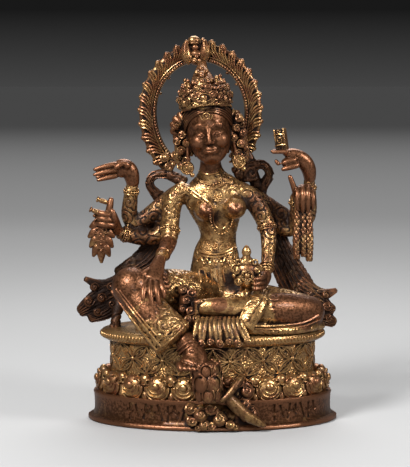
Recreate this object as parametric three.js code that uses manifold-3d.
// A seated six-armed goddess of plenty on an oval lotus throne, a small hollow casting in
// gilt copper. Millimetres, +Z up, the front towards -Y, the origin under the throne's centre.
import * as THREE from "three";
import { mergeVertices } from "three/addons/utils/BufferGeometryUtils.js";
import Module from "manifold-3d";

const wasm = await Module();
wasm.setup();

// Throne: heights from the table up, and half widths of the oval. Depth is a share of width.
const OVAL = 0.64;
const COLUMNS = 32;
const FLANGE = { half: 50, top: 2.0 };
const BAND = { half: 47.8, top: 11.6 };
const DRUM = { half: 41, bottom: 20, top: 32.4 };
const RIM = { half: 44.8, top: 36.6 };
const PETALS = { count: 24, shares: [0, 0.27, 0.73], notch: 0.935, rows: [
  [10.6, 43], [13.4, 46.8], [18, 46.8], [21, 41],
] };

// Head: its middle, and how far it bows, leans and turns, in degrees.
const HEAD = { at: [-1.3, -4.5, 114.4], bow: 4, lean: -7, turn: -2 };

// Aureole: a horseshoe behind the head. Radii across; it rises and drops by a share of them.
const AUREOLE = { at: [-4.8, 9.4, 122.6], rise: 1.13, drop: 1.25, from: -48, to: 228, lobes: 13 };

// Makes a closed solid of a geometry, and turns it the right way out.
function solid(geometry) {
  const bare = geometry.clone();
  bare.deleteAttribute("normal");
  bare.deleteAttribute("uv");
  const merged = mergeVertices(bare, 1e-4);
  const triVerts = new Uint32Array(merged.index.array);
  const vertProperties = new Float32Array(merged.attributes.position.array);
  const made = new wasm.Manifold(new wasm.Mesh({ numProp: 3, vertProperties, triVerts }));
  if (made.volume() > 0) return made;
  for (let i = 0; i < triVerts.length; i += 3) {
    [triVerts[i + 1], triVerts[i + 2]] = [triVerts[i + 2], triVerts[i + 1]];
  }
  return new wasm.Manifold(new wasm.Mesh({ numProp: 3, vertProperties, triVerts }));
}

const join = (solids) => solids.flat(Infinity).reduce((whole, piece) => whole.add(piece));

// Oval rings set along a smooth line through the stations, closed at both ends.
// A station is [x, y, z, half size along `across`, half size square to it]. `caps` says how far
// the middle of each end stands out, as a share of its half size; 0 leaves it flat.
function limb(stations, options = {}) {
  const { sides = 7, steps = 1, across = [1, 0, 0], caps = [0, 0], ripple = [0, 0] } = options;
  const line = new THREE.CatmullRomCurve3(stations.map(([x, y, z]) => new THREE.Vector3(x, y, z)));
  const girth = new THREE.CatmullRomCurve3(
    stations.map(([, , , a, b = a]) => new THREE.Vector3(a, b, 0)),
  );
  // flat-sided rings are drawn a little large, so that they hold as much as round ones
  const fill = 1 / Math.sqrt(Math.cos(Math.PI / sides));
  const spans = (stations.length - 1) * steps;
  const points = [];
  for (let i = 0; i <= spans; i += 1) {
    const { centre, side, other, a, b } = frameAt(line, girth, across, i / spans);
    for (let j = 0; j < sides; j += 1) {
      const turn = (2 * Math.PI * (j + 0.5)) / sides;
      const swell = fill * (1 + ripple[1] * Math.cos(ripple[0] * turn));
      points.push(
        centre.clone()
          .addScaledVector(side, a * swell * Math.cos(turn))
          .addScaledVector(other, b * swell * Math.sin(turn)),
      );
    }
  }
  for (const end of [0, 1]) {
    const { centre, tangent, a, b } = frameAt(line, girth, across, end);
    points.push(centre.addScaledVector(tangent, (2 * end - 1) * caps[end] * Math.min(a, b)));
  }
  return solid(new THREE.BufferGeometry().setFromPoints(points).setIndex(tubeFaces(spans + 1, sides)));
}

// The place, heading, two square directions and half sizes at a share of a limb's length.
function frameAt(line, girth, across, t) {
  const tangent = line.getTangent(t).normalize();
  const side = new THREE.Vector3(...across).projectOnPlane(tangent).normalize();
  const { x: a, y: b } = girth.getPoint(t);
  return { centre: line.getPoint(t), tangent, side, other: tangent.clone().cross(side), a, b };
}

// The triangles of stacked rings, whose two end points come last.
function tubeFaces(rings, sides) {
  const index = [];
  const top = (rings - 1) * sides;
  const [first, last] = [rings * sides, rings * sides + 1];
  for (let j = 0; j < sides; j += 1) {
    const next = (j + 1) % sides;
    index.push(first, next, j, last, top + j, top + next);
    for (let i = 0; i < top; i += sides) {
      index.push(i + j, i + next, i + sides + next, i + j, i + sides + next, i + sides + j);
    }
  }
  return index;
}

// An egg: half sizes along its own axes, turned by angles in degrees, at a place.
function egg(at, half, turn = [0, 0, 0], sides = 6, rows = 4) {
  const geometry = new THREE.SphereGeometry(1, sides, rows).rotateX(Math.PI / 2);
  return solid(place(geometry.scale(...half), at, turn));
}

function place(geometry, at, turn = [0, 0, 0]) {
  const angles = turn.map(THREE.MathUtils.degToRad);
  const matrix = new THREE.Matrix4().makeRotationFromEuler(new THREE.Euler(...angles, "ZYX"));
  return geometry.applyMatrix4(matrix.setPosition(...at));
}

// A turned piece: [radius, height] pairs from the axis at the bottom to the axis at the top.
function turned(profile, sides) {
  const points = profile.map(([radius, height]) => new THREE.Vector2(radius, height));
  return new THREE.LatheGeometry(points, sides).rotateX(Math.PI / 2);
}

// The point of the throne's oval at a share of its length.
function ovalPoint(half, share) {
  return new THREE.EllipseCurve(0, 0, half, half * OVAL).getPointAt(((share % 1) + 1) % 1);
}

// The front of the oval is three quarters of the way round it.
const FRONT = 0.75;

function throne() {
  const core = turned([
    [0, 0], [FLANGE.half, 0], [FLANGE.half, FLANGE.top - 0.4], [BAND.half, FLANGE.top + 0.3],
    [BAND.half, BAND.top], [DRUM.half, BAND.top], [DRUM.half, DRUM.top - 0.4],
    [RIM.half, DRUM.top + 1.2], [RIM.half, RIM.top - 1], [RIM.half - 1.6, RIM.top], [0, RIM.top],
  ], COLUMNS);
  return solid(core.scale(1, OVAL, 1));
}

// The lotus row: a ring that swells out into fat petals.
function lotusRow() {
  const points = [];
  const sides = PETALS.count * PETALS.shares.length;
  PETALS.rows.forEach(([z, half], row) => {
    for (let k = 0; k < PETALS.count; k += 1) {
      PETALS.shares.forEach((share, n) => {
        const notch = n === 0 && row > 0 ? PETALS.notch : 1;
        const at = ovalPoint(half, FRONT + (k + share) / PETALS.count);
        points.push(new THREE.Vector3(at.x * notch, at.y * notch, z));
      });
    }
  });
  points.push(new THREE.Vector3(0, 0, PETALS.rows[0][0]), new THREE.Vector3(0, 0, PETALS.rows.at(-1)[0]));
  const faces = tubeFaces(PETALS.rows.length, sides);
  return solid(new THREE.BufferGeometry().setFromPoints(points).setIndex(faces));
}

// Body: stations are [x, y, z, half width, half depth].
const TORSO = [
  [1.0, 4.5, 38, 13.2, 9.6], [1.3, 4.2, 52, 11.6, 9.0], [1.5, 3.8, 63, 9.8, 7.4],
  [1.7, 3.5, 67.5, 8.9, 6.6], [2.4, 3.2, 72.6, 7.0, 5.6], [2.2, 2.8, 78.6, 8.8, 6.2],
  [1.4, 2.2, 85.0, 11.4, 6.7], [0.4, 2, 91, 12.6, 6.0], [-0.1, 2, 95.4, 9.6, 4.8],
  [-0.6, 1.2, 99, 4.8, 4.4], [-1.0, -1, 107, 4.2, 4.4],
];
const BREASTS = [[-2.8, -3.6, 84.0], [9.0, -3.6, 84.6]];
const BREAST_RADIUS = 4.8;
const BELT = [[1.6, 3.7, 64.2, 10.3, 7.9], [1.6, 3.6, 66.6, 9.9, 7.4]];

const ARMS = [
  { across: [1, 0, 0], stations: [
    [-13.6, 1.8, 90.8, 4.4], [-16.4, 0.6, 86, 4.3], [-16.9, -0.4, 78, 3.9],
    [-17.4, -4.4, 70.6, 3.5], [-20.8, -18, 65.4, 2.5],
  ] },
  { across: [0, 1, 0], stations: [
    [-14.6, 4.4, 88.8, 3.8], [-18, 5.4, 80, 3.6], [-21.4, 5.4, 73, 3.5], [-29, 4.6, 72, 3.2],
    [-37.8, 2.2, 74.4, 2.7],
  ] },
  { across: [0, 1, 0], stations: [
    [-13.4, 5.6, 90.2, 4.0], [-21, 6.8, 84.4, 3.9], [-29.6, 7.2, 77.8, 3.7],
    [-33.4, 6.2, 79, 3.5], [-33.2, 4.8, 86, 3.2], [-32, 3.2, 94.4, 2.6],
  ] },
  { across: [1, 0, 0], stations: [
    [12.6, 1.2, 90.6, 4.3], [17.4, 0.8, 86, 4.1], [20.9, 0.8, 80, 3.8], [22.6, -0.6, 73.4, 3.4],
    [21.2, -11, 59.4, 2.5],
  ] },
  { across: [0, 1, 0], stations: [
    [13.4, 5, 89, 3.8], [21.4, 6.8, 82.4, 3.7], [28.6, 7.6, 75.6, 3.5], [33.2, 6.4, 75.4, 3.2],
    [33.8, 3.4, 82, 2.9], [33, 1.0, 89.6, 2.3],
  ] },
  { across: [0, 1, 0], stations: [
    [13, 6.2, 90.4, 4.0], [22, 8.4, 85, 3.8], [32.4, 9.8, 78.6, 3.5], [38.8, 9.2, 79, 3.2],
    [39.4, 7.8, 86, 2.9], [38.9, 5.4, 96, 2.4],
  ] },
];

// Fingers: where each is rooted across the palm, its share of the full reach, its half width.
const OPEN = [[2.7, 0.94, 1], [0.9, 1.03, 1], [-0.9, 0.98, 1], [-2.6, 0.82, 0.95]];
const POINTING = [[2.6, 0.94, 1], [-0.9, 0.9, 2.7]];
const BONES = [5.4, 4.6];

// Each hand points from its wrist along `fingers`, its palm faces `palm`, and its thumb is on
// one side. `bends` turns each finger at its root, and `curl` further on, in degrees.
const HANDS = [
  { wrist: [-20.8, -18.0, 65.6], fingers: [-0.16, -0.42, -1], palm: [-0.1, -1, 0.3], thumb: -1,
    set: OPEN, bends: [6, 4, 4, 8], curl: 8, size: 1.08 },
  { wrist: [-38, 1.8, 75.4], fingers: [-0.55, -0.35, 1], palm: [-0.6, -0.8, -0.2], thumb: -1,
    set: POINTING, bends: [4, 88], curl: 50, size: 0.9 },
  { wrist: [-31.9, 3.2, 94.2], fingers: [-0.42, -0.15, 1], palm: [-0.85, -0.5, 0], thumb: -1,
    set: OPEN, bends: [76, 86, 94, 102], curl: 4, size: 1.14 },
  { wrist: [21.0, -11.4, 58.6], fingers: [-0.6, -0.75, -0.1], palm: [-0.5, 0.4, 0.8], thumb: 1,
    set: OPEN, bends: [34, 34, 34, 34], curl: 30, size: 0.9 },
  { wrist: [32.9, 0.8, 89.2], fingers: [-0.25, -0.35, 1], palm: [0.3, -1, 0], thumb: 1,
    set: POINTING, bends: [6, 96], curl: 60, size: 0.76 },
  { wrist: [38.9, 5.4, 95.6], fingers: [-0.66, -0.2, 0.9], palm: [-0.9, -0.2, -0.5], thumb: 1,
    set: OPEN, bends: [36, 44, 54, 64], curl: 8, size: 1.06 },
];

function hand({ wrist, fingers, palm, thumb, set, bends, curl, size }) {
  const along = new THREE.Vector3(...fingers).normalize();
  const facing = new THREE.Vector3(...palm).projectOnPlane(along).normalize();
  const aside = facing.clone().cross(along).multiplyScalar(thumb);
  const across = aside.toArray();
  const station = (x, y, z, ...half) => [
    ...new THREE.Vector3(...wrist).addScaledVector(along, x * size)
      .addScaledVector(aside, y * size).addScaledVector(facing, z * size).toArray(),
    ...half.map((value) => value * size),
  ];
  const made = [
    limb([station(-1.4, 0, 0, 2.3, 2), station(3, 0, 0, 3.3, 1.7), station(8.6, 0, 0.2, 3.6, 1.3)],
      { across, sides: 6 }),
    limb([station(1.2, 1.6, 0.4, 1.3), station(5, 4, 1.4, 1.25), station(8.4, 4.6, 3.2, 0.9)],
      { across, sides: 4, caps: [0, 0.8] }),
  ];
  set.forEach(([root, reach, wide], k) => {
    let [x, z] = [8.2, 0.2];
    const stations = [station(x - 1, root, z, wide, 1)];
    BONES.forEach((bone, n) => {
      const angle = THREE.MathUtils.degToRad(bends[k] + n * curl);
      x += bone * reach * Math.cos(angle);
      z += bone * reach * Math.sin(angle);
      stations.push(station(x, root, z, wide * (0.98 - 0.16 * n), 0.92 - 0.16 * n));
    });
    made.push(limb(stations, { across, sides: 4, caps: [0, 1.2] }));
  });
  return made;
}

// Legs. The right knee is raised and its shin hangs before the throne; the left leg lies
// folded on it.
const LEGS = {
  rightThigh: { stations: [[-1, 1, 48.6, 9.2, 8.6], [-14, -8, 52.4, 8.4, 8.6],
    [-31, -21.6, 54.2, 7.6, 7.8]], across: [0.6, -0.8, 0] },
  rightShin: { stations: [[-31, -22.6, 54.6, 7.4, 7.4], [-26, -26.6, 47.4, 7.6, 6.8],
    [-18.6, -29.4, 39.6, 8.0, 6.0], [-14.4, -30.6, 35.4, 8.6, 5.6]], across: [0.76, 0.2, 0.62] },
  rightFoot: { stations: [[-11.6, -30, 36, 3.8, 3.8], [-8.2, -31.4, 31.6, 3.7, 3.7],
    [-7.2, -33.8, 28.6, 4.4, 3.6], [-9.2, -38, 26.4, 4.6, 2.2]], across: [1, 0.2, 0] },
  leftThigh: { stations: [[5, 1.6, 47.6, 8.6, 8.6], [22, -2.6, 46.6, 7.4, 7.4],
    [38, -7, 43.8, 6.4, 6.4]], across: [0, 1, 0.1] },
  leftShin: { stations: [[38.2, -9.4, 43.6, 6.2, 6.2], [25, -17.6, 43.4, 6.0, 6.0],
    [13, -21, 44.6, 6.2, 5.2]], across: [0.2, 1, 0.1] },
  leftFoot: { stations: [[14, -21.2, 46, 3.8, 3.8], [6, -22.8, 47.8, 3.6, 2.8],
    [-3.4, -23.4, 48.6, 3.8, 2.2]], across: [0, 0.2, 1] },
};
const KNEES = [
  { at: [-31.4, -23.2, 55.4], half: [8.0, 7.8, 7.9] }, { at: [37.8, -8.6, 43.8], half: [6.8, 6.8, 6.5] },
];
const TOES = [
  { at: [-12.4, -37.6, 26], step: [1.8, -0.5, -0.1], radius: 1.3 },
  { at: [-3.9, -23.4, 51.6], step: [-0.1, 0, -1.5], radius: 1.2 },
];

function legs() {
  const made = Object.values(LEGS).map(
    ({ stations, across }) => limb(stations, { sides: 9, across, caps: [0, 0.3] }),
  );
  KNEES.forEach(({ at, half }) => made.push(egg(at, half, [0, 0, 0], 8, 6)));
  TOES.forEach(({ at, step, radius }) => {
    for (let k = 0; k < 5; k += 1) {
      const spot = at.map((value, axis) => value + step[axis] * k);
      made.push(egg(spot, Array(3).fill(radius * (k ? 1 - 0.07 * k : 1.2)), [0, 0, 0], 4, 3));
    }
  });
  return made;
}

// Cloth: the hem round the hanging leg, folds along the throne's edge, the pleated fan over
// its rim, and the gathered cloth that they sit on.
const CLOTH = [
  { stations: [[-17.6, -29.8, 38.6, 8.8, 6.6], [-13.8, -31, 34.6, 9.2, 6.2]],
    across: [0.76, 0.2, 0.62], sides: 9 },
  { stations: [[7.4, -25.6, 38.8, 1.7, 1.9], [20, -24.8, 38.4, 1.7, 1.9],
    [33, -20, 38, 1.7, 1.9], [44, -7, 38, 1.5, 1.7]], across: [0, 0, 1], sides: 5 },
  { stations: [[-30, 1, 39, 8, 3.2], [-10, 0, 40.2, 17, 4.4], [12, 0, 40.2, 17.6, 4.4],
    [37, 0, 39, 10, 3.2]], across: [0, 1, 0], sides: 8 },
  { stations: [[-8, -17.6, 42, 5.4, 4.8], [11, -18, 42, 5.4, 4.2]], across: [0, 1, 0], sides: 8 },
];
const FAN = { stations: [[2.6, -23.6, 43.4, 4.6, 2.4], [2.8, -28, 39.6, 9.4, 2.8],
  [3, -30.4, 34.8, 11.4, 2.2]], across: [1, 0, 0], sides: 14, ripple: [7, 0.09], caps: [0, 0.1] };

// Head, in its own frame: the face towards -Y, heights from the middle of the face.
const SKULL = [
  [0, -5.6, -10.2, 2.6, 2.4], [0, -3.2, -8.2, 5.4, 5.8], [0, -1.2, -4.2, 7.7, 8.0],
  [0, -0.2, 0.8, 8.6, 9.0], [0, 0.2, 6.4, 8.9, 9.3], [0, 0.5, 12, 7.8, 8.2], [0, 0.6, 16, 4.4, 4.8],
];
const NOSE = [[0, -8.6, 2.6, 0.7, 0.8], [0, -9.9, -2.6, 1.2, 1.2]];
const MOUTH = { at: [0, -8.0, -5.6], half: [2.2, 1.2, 1.0] };
const EYE = { at: [3.5, -8.0, 1.2], half: [2.1, 1.0, 1.0] };
const BOWS = [
  { at: [11.4, 2.4, 4.6], half: [5.8, 2.2, 3.4], turn: 30 },
  { at: [11.8, 2.6, -1.6], half: [5.6, 2.2, 4.0], turn: 6 },
];
const BOW_SHIFT = -0.7;
const RIBBON = [[9, 3.0, -1, 2.8, 1.9], [12.6, 4.6, -8, 2.4, 1.6], [12, 5.6, -17, 2.0, 1.5]];
const EAR = [[8.6, 1.0, 3.4, 1.1, 2], [9.4, 0, -3, 1.0, 1.8], [9.9, -1.2, -11, 1.1, 1.4]];
const EARRING = { at: [10.4, -1.4, -12.2], profile: [
  [0, -1.4], [2.7, -1.4], [3.0, 0.4], [1.6, 1.4], [0, 1.4],
] };
const CROWN_CORE = [[0, 1.2, 15, 7, 7], [-0.2, 3, 21.6, 3.8, 3.6],
  [0, 8.6, 25.2, 2.2, 2.2], [0.2, 13.6, 27, 1.9, 1.9]];
// The crown's leaves stand in a ring. Each row has the height and radius of its leaf tips, then
// of the notches between them.
const CROWN = { leaves: 8, front: 2.5, rows: [
  [9.8, 10.0, 9.8, 10.0], [13.2, 9.8, 13.2, 9.8], [16.4, 10.4, 15, 9.4], [21.4, 8.0, 16.8, 8.6],
] };

function head() {
  const parts = [
    limb(SKULL, { sides: 11, caps: [0.4, 0.3] }), limb(NOSE, { sides: 4, caps: [0.4, 0.2] }),
    egg(MOUTH.at, MOUTH.half),
    crown(), limb(CROWN_CORE, { sides: 6 }),
  ];
  for (const side of [-1, 1]) {
    const mirror = (stations) => stations.map(([x, ...rest]) => [side * x, ...rest]);
    parts.push(
      egg(mirror([EYE.at])[0], EYE.half),
      limb(mirror(EAR), { sides: 5 }), limb(mirror(RIBBON), { sides: 5 }),
      BOWS.map(({ at: [x, y, z], half, turn }) => {
        const spot = [side * x + BOW_SHIFT, y, z];
        return egg(spot, half, [0, side * turn, 0], 5, 4);
      }),
      solid(place(turned(EARRING.profile, 8), mirror([EARRING.at])[0], [90, 0, side * 12])),
    );
  }
  const { at, bow, lean, turn } = HEAD;
  const [x, y, z] = [bow, lean, turn].map(THREE.MathUtils.degToRad);
  const matrix = new THREE.Matrix4().makeRotationFromEuler(new THREE.Euler(x, y, z, "ZYX"));
  return join(parts).transform(matrix.setPosition(...at).toArray());
}

function crown() {
  const points = [];
  const sides = 2 * CROWN.leaves;
  CROWN.rows.forEach(([tipZ, tipRadius, notchZ, notchRadius], row) => {
    for (let k = 0; k < sides; k += 1) {
      const angle = (2 * Math.PI * k) / sides - Math.PI / 2;
      const radius = k % 2 ? notchRadius : tipRadius;
      const rise = k === 0 && row === CROWN.rows.length - 1 ? CROWN.front : 0;
      points.push(new THREE.Vector3(
        radius * Math.cos(angle), 0.3 + 1.04 * radius * Math.sin(angle), (k % 2 ? notchZ : tipZ) + rise,
      ));
    }
  });
  points.push(new THREE.Vector3(0, 0, CROWN.rows[0][0]), new THREE.Vector3(0, 1, CROWN.rows.at(-1)[2]));
  const faces = tubeFaces(CROWN.rows.length, sides);
  return solid(new THREE.BufferGeometry().setFromPoints(points).setIndex(faces));
}

// The point of the horseshoe at an angle from +X, a distance out from its centre and a depth.
function halo(degrees, radius, depth) {
  const angle = THREE.MathUtils.degToRad(degrees);
  const [x, y, z] = AUREOLE.at;
  const lift = Math.sin(angle) > 0 ? AUREOLE.rise : AUREOLE.drop;
  return new THREE.Vector3(
    x + radius * Math.cos(angle), y + depth, z + radius * lift * Math.sin(angle),
  );
}

// Its section runs from the bead at the inner edge to the lobes at the outer one.
function aureole() {
  const { from, to, lobes } = AUREOLE;
  const points = [];
  const rings = 4 * lobes + 1;
  const middle = (from + to) / 2;
  for (let i = 0; i < rings; i += 1) {
    const angle = from + ((to - from) * i) / (rings - 1);
    const tip = i % 2;
    const lag = 3 * Math.sign(middle - angle) * Math.min(1, Math.abs(angle - middle) / 10);
    const peak = 1.4 * Math.max(0, 1 - Math.abs(angle - middle) / 40);
    const reach = (tip ? 25.5 : 24.3) + peak;
    points.push(
      halo(angle, 17.8, 0.4), halo(angle, 18.8, -1.7), halo(angle, 20.6, -1.2),
      halo(angle + lag, reach - 1.4, tip ? -2.2 : -1.0), halo(angle + lag, reach, tip ? 0.6 : 0.4),
      halo(angle, 20.6, 1.4),
    );
  }
  const centre = (start) => points.slice(start, start + 6)
    .reduce((sum, point) => sum.add(point), new THREE.Vector3()).divideScalar(6);
  points.push(centre(0), centre(points.length - 6));
  return [
    solid(new THREE.BufferGeometry().setFromPoints(points).setIndex(tubeFaces(rings, 6))),
    FINIAL.map(({ at, half }) => egg(at, half)),
  ];
}

// Stacked bulbs on the aureole's top.
const FINIAL = [
  { at: [-5.8, 8.4, 144.2], half: [3.6, 2.4, 2.6] }, { at: [-6.2, 8.4, 147.8], half: [2.8, 2.2, 2.8] },
  { at: [-6.8, 8.6, 151.2], half: [3.0, 2.4, 2.3] },
];

// Scarf: a loop by each shoulder, a fall behind the arms, and tongued ends by the knees.
const SCARF = [
  [[-10, 6, 95.4, 1.7, 3.0], [-17.6, 7.4, 97.2, 1.7, 2.8], [-24.6, 7.8, 97.4, 1.7, 1.9],
    [-26.9, 7.8, 93.4, 1.7, 1.9], [-23.6, 7.8, 89.4, 1.7, 2.0], [-18.4, 8.6, 83, 1.7, 2.4],
    [-19.4, 9.4, 71, 1.7, 3.4], [-27, 8.8, 62.4, 1.9, 4.8], [-37.4, 6.6, 55.2, 1.9, 4.8]],
  [[10, 6.4, 95.6, 1.8, 2.6], [14.6, 7.4, 101, 1.8, 2.3], [20.2, 7.8, 102.2, 1.8, 2.1],
    [23.2, 7.8, 98, 1.8, 2.1], [20.4, 8.4, 92.4, 1.8, 2.4], [23, 10, 78, 1.7, 3.6],
    [27.8, 9, 64.6, 1.8, 5.6], [35.4, 5.6, 50, 2.0, 7.4]],
];
const TONGUES = [
  [[-34, 6.8, 55, 5.0, 1.9], [-43, 4.8, 52, 3.2, 1.7], [-51.2, 2.4, 55.8, 0.9, 0.8]],
  [[-35, 6.4, 52, 5.2, 1.9], [-45, 4, 47, 5.2, 1.9], [-53.8, 2.6, 41.8, 2.2, 1.3]],
  [[-35.6, 6, 49, 4.6, 1.9], [-42.6, 4.2, 42.4, 3.6, 1.7], [-49.6, 3, 39.2, 1.4, 1.1]],
  [[34.6, 6.4, 53, 5.0, 1.9], [43, 4.4, 48.6, 3.2, 1.7], [50.2, 3, 50.8, 0.9, 0.9]],
  [[38, 5, 48, 5.0, 2], [44, 3.4, 45.6, 3.6, 1.8], [48.6, 2.6, 43.2, 2.4, 1.5]],
  [[39, 4, 43, 4.6, 2], [45, 2.6, 40, 3.4, 1.8], [49.4, 2.2, 38, 2.0, 1.4]],
];
const STRUT = [[-37.4, 3.6, 46, 2.8, 2], [-38.8, 1.2, 40, 1.9, 1.6], [-39.2, 0.6, 36, 2.8, 2.4]];

function scarf() {
  return [
    SCARF.map((stations) => limb(stations, { sides: 5, across: [0, 1, 0] })),
    TONGUES.map((stations) => limb(stations, { sides: 5, across: [0, 0, 1], caps: [0, 0.6] })),
    limb(STRUT, { sides: 5 }),
  ];
}

// What the hands hold: a hanging spray, two stems, a book on its rest, a vase and a sheaf.
const SPRAY = [[-44.6, -1.6, 82.4, 2.2, 1.7], [-44.6, -1.6, 76.4, 4.6, 2.0],
  [-44.8, -1.6, 69, 4.5, 2.0], [-44.4, -1.6, 62, 0.8, 0.7]];
const STEMS = [
  [[-43.4, -3, 81.6, 0.9], [-49, -5.4, 84.4, 0.8]], [[-41.4, -3, 86, 0.9], [-46, -5.4, 88.4, 0.8]],
];
const BOOK = { at: [27, 2.4, 111.2], size: [5.2, 3.6, 9.8], turn: [0, -7, 0] };
const REST = [[24, 2.2, 105.6, 2.6, 1.1], [33.6, 4, 104.4, 2.8, 2.0]];
const VASE = { at: [12.6, -17.4, 53], profile: [
  [0, 0], [3.0, 0], [2.4, 2], [4.8, 4.6], [5.0, 7.4], [2.6, 10.8], [3.3, 12.2], [1.7, 14],
  [1.9, 15.8], [0, 18.2],
] };
const SHEAF = [[33.6, -0.6, 92.6, 3.2, 2.2], [36, -1.4, 84, 4.0, 2.6], [36.8, -2, 68, 4.2, 2.6],
  [36.4, -2, 62.6, 3.2, 2.0]];

function attributes() {
  return [
    limb(SPRAY, { sides: 6 }), STEMS.map((stations) => limb(stations, { sides: 4 })),
    solid(place(new THREE.BoxGeometry(...BOOK.size), BOOK.at, BOOK.turn)),
    limb(REST, { sides: 5, across: [0, 1, 0] }),
    solid(turned(VASE.profile, 8).translate(...VASE.at)),
    limb(SHEAF, { sides: 6 }),
  ];
}

// The small lotus under the hanging foot, its stem, a stalk with a bud, and the leafy ground
// that they grow from.
const FOOTREST = { sides: 14, ripple: [7, 0.08], caps: [0.2, 0.3], stations: [
  [-1, -35.2, 13, 3.4, 3.2], [-1.4, -36.4, 17, 6.2, 5.6], [-2, -36.6, 22, 6.7, 6],
  [-2.6, -35.6, 27, 4.6, 4.4],
] };
const STALKS = [
  [[-2, -35, 13.6, 2.8, 1.8], [4, -36, 13.4, 2.4, 1.5], [9.6, -34, 20, 1.8, 1.5],
    [11.4, -30, 21.4, 1.6, 1.5]],
  [[5.2, -35.2, 14.6, 2.3, 2.3], [12.6, -33.8, 7, 2.8, 2.5], [20, -31.8, 2.6, 1.1, 1.1]],
];
const GROUND = [
  { at: [0, -30.4, 7], half: [12, 3.2, 5.6], turn: 0 },
  { at: [9.6, -30.6, 15.6], half: [3.6, 3.0, 6.4], turn: 14 },
];

function footrest() {
  return [
    limb(FOOTREST.stations, FOOTREST),
    STALKS.map((stations) => limb(stations, { sides: 5, across: [0, 1, 0] })),
    GROUND.map(({ at, half, turn }) => egg(at, half, [0, turn, 0])),
  ];
}

const statuette = join([
  throne(), lotusRow(), limb(TORSO, { sides: 10 }),
  BREASTS.map((at) => egg(at, Array(3).fill(BREAST_RADIUS), [0, 0, 0], 7, 5)),
  limb(BELT, { sides: 10 }),
  ARMS.map(({ stations, across }) => limb(stations, { sides: 6, across })),
  HANDS.map(hand), legs(),
  CLOTH.map(({ stations, ...shape }) => limb(stations, shape)), limb(FAN.stations, FAN),
  head(), aureole(), scarf(), attributes(), footrest(),
]);

// Turns a joined solid back into a mesh with a name and a finish.
function mesh(name, body, finish) {
  const { vertProperties, triVerts } = body.getMesh();
  const geometry = new THREE.BufferGeometry()
    .setAttribute("position", new THREE.BufferAttribute(new Float32Array(vertProperties), 3))
    .setIndex(new THREE.BufferAttribute(new Uint32Array(triVerts), 1));
  geometry.computeVertexNormals();
  const made = new THREE.Mesh(geometry, finish);
  made.name = name;
  return made;
}

const GILT_COPPER = new THREE.MeshStandardMaterial({ color: 0x8a5a2c, roughness: 0.38, metalness: 0.9 });

const figure = new THREE.Group();
figure.add(mesh("statuette", statuette, GILT_COPPER));
export default figure;
